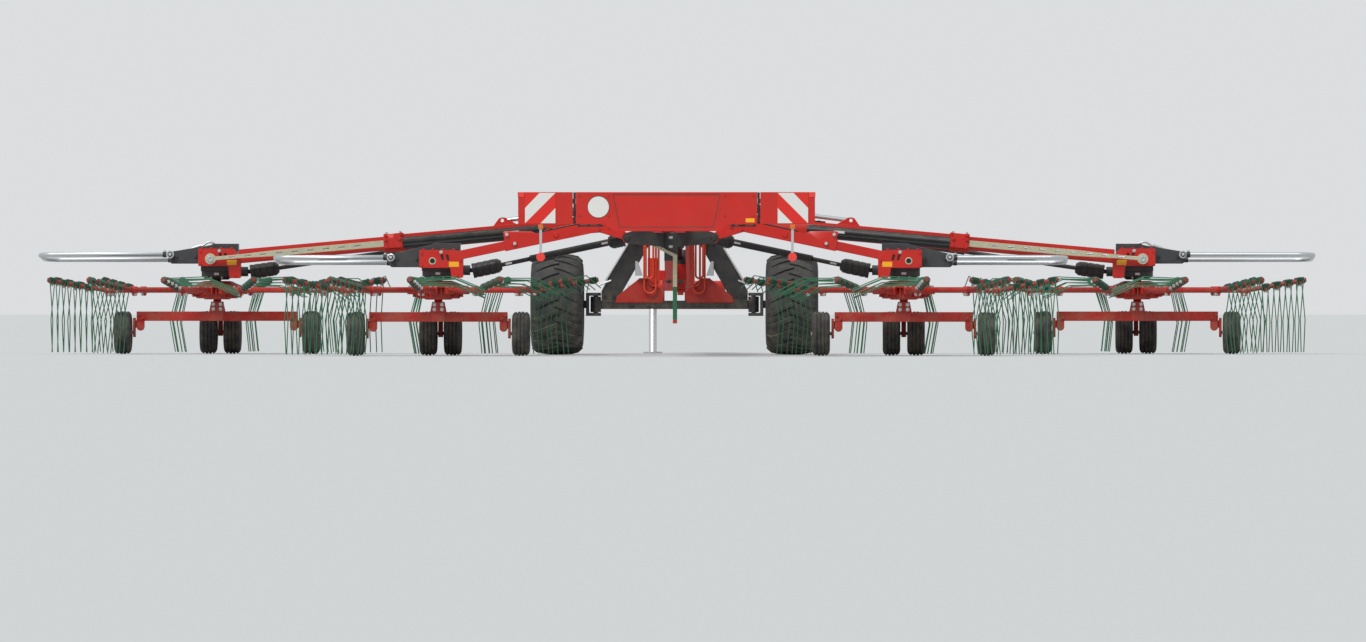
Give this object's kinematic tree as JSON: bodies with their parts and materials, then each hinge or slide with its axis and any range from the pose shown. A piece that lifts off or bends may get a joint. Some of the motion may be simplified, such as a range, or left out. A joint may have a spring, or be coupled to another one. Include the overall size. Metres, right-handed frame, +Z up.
{
  "type": "trailed four-rotor hay rake",
  "caption": "Trailed hay rake: rotors with sprung tines on folding, telescoping arms either side of a wheeled frame, with drive shafts, guard hoops, light panel, hitch and parking jack.",
  "frame": {"origin": "on the ground under the middle of the machine, at the bottom centre of its bounding box", "axes": "+X to the machine's right, +Y forward along the direction of travel, +Z up"},
  "size_m": [12.16, 8.3809, 1.5],
  "materials": {
    "red_paint": "gloss",
    "black_paint": "satin",
    "dark_casting": "satin",
    "galvanised_steel": "satin",
    "chrome_rod": "polished",
    "tyre_rubber": "matt",
    "black_plastic": "matt",
    "strap": "satin",
    "tine_green": "satin",
    "marker_white": "satin",
    "lens_amber": "gloss",
    "lens_red": "gloss",
    "label_yellow": "satin",
    "hose_orange": "matt"
  },
  "bodies": {
    "chassis": {"main_frame": "red_paint", "axle_frame": "black_paint", "driveline": "dark_casting", "light_panel": "red_paint", "wheel_chocks": "galvanised_steel", "swath_flap": "strap", "hydraulic_hoses": "hose_orange", "panel_cable": "black_plastic"},
    "headstock": {"headstock": "red_paint"},
    "jack": {"jack_leg": "galvanised_steel"},
    "panel_wing_left": {"panel_wing_left": "red_paint"},
    "knuckle_left": {"knuckle_left": "dark_casting"},
    "transport_wheel_left": {"transport_tyre_left": "tyre_rubber", "transport_rim_left": "galvanised_steel"},
    "front_arm_left": {"front_arm_left": "red_paint"},
    "front_carrier_left": {"front_carrier_left": "red_paint", "front_gearbox_left": "dark_casting"},
    "front_rotor_left": {"front_rotor_left": "red_paint"},
    "front_hoop_left": {"front_hoop_left": "galvanised_steel"},
    "front_outer_wheel_left": {"front_outer_wheel_left": "tyre_rubber"},
    "front_inner_wheel_left": {"front_inner_wheel_left": "tyre_rubber"},
    "front_twin_wheels_left": {"front_twin_wheels_left": "tyre_rubber"},
    "rear_arm_left": {"rear_arm_left": "red_paint", "rear_shaft_guard_left": "black_plastic"},
    "rear_carrier_left": {"rear_carrier_left": "red_paint", "rear_gearbox_left": "dark_casting"},
    "rear_rotor_left": {"rear_rotor_left": "red_paint"},
    "rear_hoop_left": {"rear_hoop_left": "galvanised_steel"},
    "rear_outer_wheel_left": {"rear_outer_wheel_left": "tyre_rubber"},
    "rear_inner_wheel_left": {"rear_inner_wheel_left": "tyre_rubber"},
    "rear_twin_wheels_left": {"rear_twin_wheels_left": "tyre_rubber"},
    "front_shaft_guard_left": {"front_shaft_guard_left": "black_plastic"},
    "front_shaft_left": {"front_shaft_left": "black_plastic"},
    "lift_barrel_left": {"lift_barrel_left": "black_paint"},
    "lift_rod_left": {"lift_rod_left": "chrome_rod"},
    "panel_wing_right": {"panel_wing_right": "red_paint"},
    "knuckle_right": {"knuckle_right": "dark_casting"},
    "transport_wheel_right": {"transport_tyre_right": "tyre_rubber", "transport_rim_right": "galvanised_steel"},
    "front_arm_right": {"front_arm_right": "red_paint"},
    "front_carrier_right": {"front_carrier_right": "red_paint", "front_gearbox_right": "dark_casting"},
    "front_rotor_right": {"front_rotor_right": "red_paint"},
    "front_hoop_right": {"front_hoop_right": "galvanised_steel"},
    "front_outer_wheel_right": {"front_outer_wheel_right": "tyre_rubber"},
    "front_inner_wheel_right": {"front_inner_wheel_right": "tyre_rubber"},
    "front_twin_wheels_right": {"front_twin_wheels_right": "tyre_rubber"},
    "rear_arm_right": {"rear_arm_right": "red_paint", "rear_shaft_guard_right": "black_plastic"},
    "rear_carrier_right": {"rear_carrier_right": "red_paint", "rear_gearbox_right": "dark_casting"},
    "rear_rotor_right": {"rear_rotor_right": "red_paint"},
    "rear_hoop_right": {"rear_hoop_right": "galvanised_steel"},
    "rear_outer_wheel_right": {"rear_outer_wheel_right": "tyre_rubber"},
    "rear_inner_wheel_right": {"rear_inner_wheel_right": "tyre_rubber"},
    "rear_twin_wheels_right": {"rear_twin_wheels_right": "tyre_rubber"},
    "front_shaft_guard_right": {"front_shaft_guard_right": "black_plastic"},
    "front_shaft_right": {"front_shaft_right": "black_plastic"},
    "lift_barrel_right": {"lift_barrel_right": "black_paint"},
    "lift_rod_right": {"lift_rod_right": "chrome_rod"}
  },
  "joints": [
    {"name": "hitch_turn", "type": "hinge", "parent": "chassis", "child": "headstock", "pos_m": [0, 3.75, 0.65], "axis": [0, 0, 1], "range_deg": [-60, 60]},
    {"name": "jack_slide", "type": "slide", "parent": "chassis", "child": "jack", "axis": [0, 0, 1], "range_m": [0, 0.3]},
    {"name": "wing_fold_left", "type": "hinge", "parent": "chassis", "child": "panel_wing_left", "pos_m": [-0.837, -4.18, 1.355], "axis": [0, 0, -1], "range_deg": [0, 85]},
    {"name": "steer_left", "type": "hinge", "parent": "chassis", "child": "knuckle_left", "pos_m": [-0.745, 0.3, 0.475], "axis": [0, 0, 1], "range_deg": [-15, 15]},
    {"name": "roll_left", "type": "hinge", "parent": "knuckle_left", "child": "transport_wheel_left", "pos_m": [-1.107, 0.3, 0.475], "axis": [1, 0, 0], "continuous": true},
    {"name": "fold_front_left", "type": "hinge", "parent": "chassis", "child": "front_arm_left", "pos_m": [-0.32, 1.65, 1.33], "axis": [0, 1, 0], "range_deg": [0, 88]},
    {"name": "extend_front_left", "type": "slide", "parent": "front_arm_left", "child": "front_carrier_left", "axis": [0.9961, 0, 0.088], "range_m": [-0.12, 1.1]},
    {"name": "spin_front_left", "type": "hinge", "parent": "front_carrier_left", "child": "front_rotor_left", "pos_m": [-4.39, 1.65, 0.61], "axis": [0, 0, -1], "continuous": true},
    {"name": "guard_front_left", "type": "hinge", "parent": "front_carrier_left", "child": "front_hoop_left", "pos_m": [-4.815, 1.65, 0.924], "axis": [0, -0.9986, 0.0523], "range_deg": [-90, 0]},
    {"name": "roll_front_outer_wheel_left", "type": "hinge", "parent": "front_carrier_left", "child": "front_outer_wheel_left", "pos_m": [-5.29, 1.65, 0.205], "axis": [1, 0, 0], "continuous": true},
    {"name": "roll_front_inner_wheel_left", "type": "hinge", "parent": "front_carrier_left", "child": "front_inner_wheel_left", "pos_m": [-3.49, 1.65, 0.205], "axis": [1, 0, 0], "continuous": true},
    {"name": "roll_front_twin_wheels_left", "type": "hinge", "parent": "front_carrier_left", "child": "front_twin_wheels_left", "pos_m": [-4.39, 2.27, 0.205], "axis": [1, 0, 0], "continuous": true},
    {"name": "fold_rear_left", "type": "hinge", "parent": "chassis", "child": "rear_arm_left", "pos_m": [-0.4, -1.75, 1.09], "axis": [0, 1, 0], "range_deg": [0, 88]},
    {"name": "extend_rear_left", "type": "slide", "parent": "rear_arm_left", "child": "rear_carrier_left", "axis": [0.9787, 0, 0.2055], "range_m": [-0.1, 0.3]},
    {"name": "spin_rear_left", "type": "hinge", "parent": "rear_carrier_left", "child": "rear_rotor_left", "pos_m": [-2.16, -1.75, 0.61], "axis": [0, 0, -1], "continuous": true},
    {"name": "guard_rear_left", "type": "hinge", "parent": "rear_carrier_left", "child": "rear_hoop_left", "pos_m": [-2.585, -1.75, 0.888], "axis": [0, -0.9986, 0.0523], "range_deg": [-90, 0]},
    {"name": "roll_rear_outer_wheel_left", "type": "hinge", "parent": "rear_carrier_left", "child": "rear_outer_wheel_left", "pos_m": [-2.928, -1.75, 0.205], "axis": [1, 0, 0], "continuous": true},
    {"name": "roll_rear_inner_wheel_left", "type": "hinge", "parent": "rear_carrier_left", "child": "rear_inner_wheel_left", "pos_m": [-1.392, -1.75, 0.205], "axis": [1, 0, 0], "continuous": true},
    {"name": "roll_rear_twin_wheels_left", "type": "hinge", "parent": "rear_carrier_left", "child": "rear_twin_wheels_left", "pos_m": [-2.16, -1.13, 0.205], "axis": [1, 0, 0], "continuous": true},
    {"name": "guard_follow_left", "type": "hinge", "parent": "front_arm_left", "child": "front_shaft_guard_left", "pos_m": [-0.32, 1.65, 1.33], "axis": [0, 1, 0], "range_deg": [-1.65, 0.45]},
    {"name": "shaft_follow_left", "type": "hinge", "parent": "front_carrier_left", "child": "front_shaft_left", "pos_m": [-4.04, 1.65, 0.786], "axis": [0, 1, 0], "range_deg": [-1.65, 0.45]},
    {"name": "lift_swing_left", "type": "hinge", "parent": "chassis", "child": "lift_barrel_left", "pos_m": [-0.13, 1.415, 1.462], "axis": [0, 1, 0], "range_deg": [-1, 84.33]},
    {"name": "lift_stroke_left", "type": "slide", "parent": "lift_barrel_left", "child": "lift_rod_left", "axis": [-0.9924, 0, -0.1233], "range_m": [-0.3061, 0.005]},
    {"name": "wing_fold_right", "type": "hinge", "parent": "chassis", "child": "panel_wing_right", "pos_m": [0.837, -4.18, 1.355], "axis": [0, 0, 1], "range_deg": [0, 85]},
    {"name": "steer_right", "type": "hinge", "parent": "chassis", "child": "knuckle_right", "pos_m": [0.745, 0.3, 0.475], "axis": [0, 0, 1], "range_deg": [-15.5, 15.5]},
    {"name": "roll_right", "type": "hinge", "parent": "knuckle_right", "child": "transport_wheel_right", "pos_m": [1.107, 0.3, 0.475], "axis": [1, 0, 0], "continuous": true},
    {"name": "fold_front_right", "type": "hinge", "parent": "chassis", "child": "front_arm_right", "pos_m": [0.32, 1.65, 1.33], "axis": [0, -1, 0], "range_deg": [0, 88]},
    {"name": "extend_front_right", "type": "slide", "parent": "front_arm_right", "child": "front_carrier_right", "axis": [-0.9961, 0, 0.088], "range_m": [-0.12, 1.1]},
    {"name": "spin_front_right", "type": "hinge", "parent": "front_carrier_right", "child": "front_rotor_right", "pos_m": [4.39, 1.65, 0.61], "axis": [0, 0, 1], "continuous": true},
    {"name": "guard_front_right", "type": "hinge", "parent": "front_carrier_right", "child": "front_hoop_right", "pos_m": [4.815, 1.65, 0.924], "axis": [0, 0.9986, -0.0523], "range_deg": [-90, 0]},
    {"name": "roll_front_outer_wheel_right", "type": "hinge", "parent": "front_carrier_right", "child": "front_outer_wheel_right", "pos_m": [5.29, 1.65, 0.205], "axis": [1, 0, 0], "continuous": true},
    {"name": "roll_front_inner_wheel_right", "type": "hinge", "parent": "front_carrier_right", "child": "front_inner_wheel_right", "pos_m": [3.49, 1.65, 0.205], "axis": [1, 0, 0], "continuous": true},
    {"name": "roll_front_twin_wheels_right", "type": "hinge", "parent": "front_carrier_right", "child": "front_twin_wheels_right", "pos_m": [4.39, 2.27, 0.205], "axis": [1, 0, 0], "continuous": true},
    {"name": "fold_rear_right", "type": "hinge", "parent": "chassis", "child": "rear_arm_right", "pos_m": [0.4, -1.75, 1.09], "axis": [0, -1, 0], "range_deg": [0, 88]},
    {"name": "extend_rear_right", "type": "slide", "parent": "rear_arm_right", "child": "rear_carrier_right", "axis": [-0.9787, 0, 0.2055], "range_m": [-0.1, 0.3]},
    {"name": "spin_rear_right", "type": "hinge", "parent": "rear_carrier_right", "child": "rear_rotor_right", "pos_m": [2.16, -1.75, 0.61], "axis": [0, 0, 1], "continuous": true},
    {"name": "guard_rear_right", "type": "hinge", "parent": "rear_carrier_right", "child": "rear_hoop_right", "pos_m": [2.585, -1.75, 0.888], "axis": [0, 0.9986, -0.0523], "range_deg": [-90, 0]},
    {"name": "roll_rear_outer_wheel_right", "type": "hinge", "parent": "rear_carrier_right", "child": "rear_outer_wheel_right", "pos_m": [2.928, -1.75, 0.205], "axis": [1, 0, 0], "continuous": true},
    {"name": "roll_rear_inner_wheel_right", "type": "hinge", "parent": "rear_carrier_right", "child": "rear_inner_wheel_right", "pos_m": [1.392, -1.75, 0.205], "axis": [1, 0, 0], "continuous": true},
    {"name": "roll_rear_twin_wheels_right", "type": "hinge", "parent": "rear_carrier_right", "child": "rear_twin_wheels_right", "pos_m": [2.16, -1.13, 0.205], "axis": [1, 0, 0], "continuous": true},
    {"name": "guard_follow_right", "type": "hinge", "parent": "front_arm_right", "child": "front_shaft_guard_right", "pos_m": [0.32, 1.65, 1.33], "axis": [0, 1, 0], "range_deg": [-0.45, 1.65]},
    {"name": "shaft_follow_right", "type": "hinge", "parent": "front_carrier_right", "child": "front_shaft_right", "pos_m": [4.04, 1.65, 0.786], "axis": [0, 1, 0], "range_deg": [-0.45, 1.65]},
    {"name": "lift_swing_right", "type": "hinge", "parent": "chassis", "child": "lift_barrel_right", "pos_m": [0.13, 1.415, 1.462], "axis": [0, -1, 0], "range_deg": [-1, 84.33]},
    {"name": "lift_stroke_right", "type": "slide", "parent": "lift_barrel_right", "child": "lift_rod_right", "axis": [0.9924, 0, -0.1233], "range_m": [-0.3061, 0.005]}
  ],
  "couplings": [
    {"joint": "guard_follow_left", "follows": "extend_front_left", "rad_per_m": -0.021428},
    {"joint": "shaft_follow_left", "follows": "extend_front_left", "rad_per_m": -0.021428},
    {"joint": "lift_swing_left", "follows": "fold_front_left", "ratio": 0.94699},
    {"joint": "lift_stroke_left", "follows": "fold_front_left", "m_per_rad": -0.19602},
    {"joint": "guard_follow_right", "follows": "extend_front_right", "rad_per_m": 0.021428},
    {"joint": "shaft_follow_right", "follows": "extend_front_right", "rad_per_m": 0.021428},
    {"joint": "lift_swing_right", "follows": "fold_front_right", "ratio": 0.94699},
    {"joint": "lift_stroke_right", "follows": "fold_front_right", "m_per_rad": -0.19602},
    {"joint": "steer_right", "follows": "steer_left", "ratio": 1}
  ]
}
